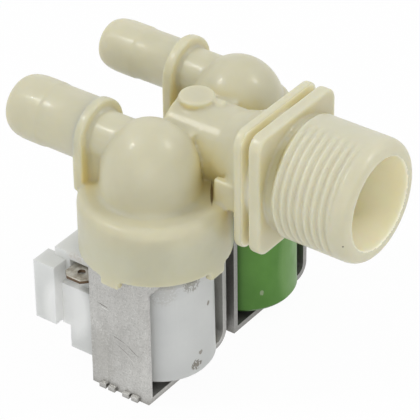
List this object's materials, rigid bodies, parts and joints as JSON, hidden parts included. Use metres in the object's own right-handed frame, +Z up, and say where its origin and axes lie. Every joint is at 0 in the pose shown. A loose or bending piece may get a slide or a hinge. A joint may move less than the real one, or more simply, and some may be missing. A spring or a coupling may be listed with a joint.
{
  "type": "washing machine inlet valve",
  "caption": "Double solenoid water inlet valve with threaded inlet, panel flanges, hose tails and plug-on coils for a washing machine.",
  "frame": {"origin": "middle of the overall length, under the inlet axis and midway between the two valve axes, on the plane the yokes stand on", "axes": "+X along the inlet axis toward its mouth, +Y from the white-coil valve to the green-coil valve, +Z up"},
  "size_m": [0.0784, 0.062, 0.0626],
  "materials": {
    "ivory_nylon": "semi-gloss moulded, slightly translucent",
    "white_plastic": "satin moulded",
    "green_plastic": "satin moulded",
    "clear_plastic": "satin moulded",
    "grey_plastic": "matte moulded",
    "dark_rubber": "matte",
    "zinc_steel": "galvanised, scratched",
    "bright_steel": "ground",
    "copper_wire": "enamelled winding",
    "tinned_brass": "tarnished tin plate"
  },
  "bodies": {
    "valve": {"valve_body": "ivory_nylon", "inlet_strainer": "grey_plastic", "flow_washer": "dark_rubber", "flow_washer_holder": "clear_plastic", "white_guide_tube": "clear_plastic", "green_guide_tube": "clear_plastic", "white_diaphragm": "dark_rubber", "green_diaphragm": "dark_rubber", "white_plunger_spring": "bright_steel", "green_plunger_spring": "bright_steel", "white_yoke": "zinc_steel", "green_yoke": "zinc_steel", "white_upper_sleeve": "bright_steel", "green_upper_sleeve": "bright_steel", "white_lower_sleeve": "bright_steel", "green_lower_sleeve": "bright_steel", "white_bobbin": "clear_plastic", "green_bobbin": "clear_plastic", "white_winding": "copper_wire", "green_winding": "copper_wire", "white_coil_cover": "white_plastic", "green_coil_cover": "green_plastic", "white_terminals": "tinned_brass", "green_terminals": "tinned_brass"},
    "white_plunger_body": {"white_plunger": "bright_steel", "white_plunger_tip": "dark_rubber"},
    "white_insert_body": {"white_pilot_insert": "clear_plastic"},
    "green_plunger_body": {"green_plunger": "bright_steel", "green_plunger_tip": "dark_rubber"},
    "green_insert_body": {"green_pilot_insert": "clear_plastic"}
  },
  "joints": [
    {"name": "white_plunger_slide", "type": "slide", "parent": "valve", "child": "white_plunger_body", "axis": [0, 0, -1], "range_m": [0, 0.0024], "stiffness_N_per_m": 160, "springref_m": -0.006, "deforming": ["white_plunger_spring"]},
    {"name": "white_insert_lift", "type": "slide", "parent": "valve", "child": "white_insert_body", "axis": [0, 0, -1], "range_m": [0, 0.0018], "stiffness_N_per_m": 40, "springref_m": -0.004, "deforming": ["white_diaphragm"]},
    {"name": "green_plunger_slide", "type": "slide", "parent": "valve", "child": "green_plunger_body", "axis": [0, 0, -1], "range_m": [0, 0.0024], "stiffness_N_per_m": 160, "springref_m": -0.006, "deforming": ["green_plunger_spring"]},
    {"name": "green_insert_lift", "type": "slide", "parent": "valve", "child": "green_insert_body", "axis": [0, 0, -1], "range_m": [0, 0.0018], "stiffness_N_per_m": 40, "springref_m": -0.004, "deforming": ["green_diaphragm"]}
  ],
  "couplings": [
    {"joint": "white_insert_lift", "follows": "white_plunger_slide", "ratio": 0.75},
    {"joint": "green_insert_lift", "follows": "green_plunger_slide", "ratio": 0.75}
  ]
}
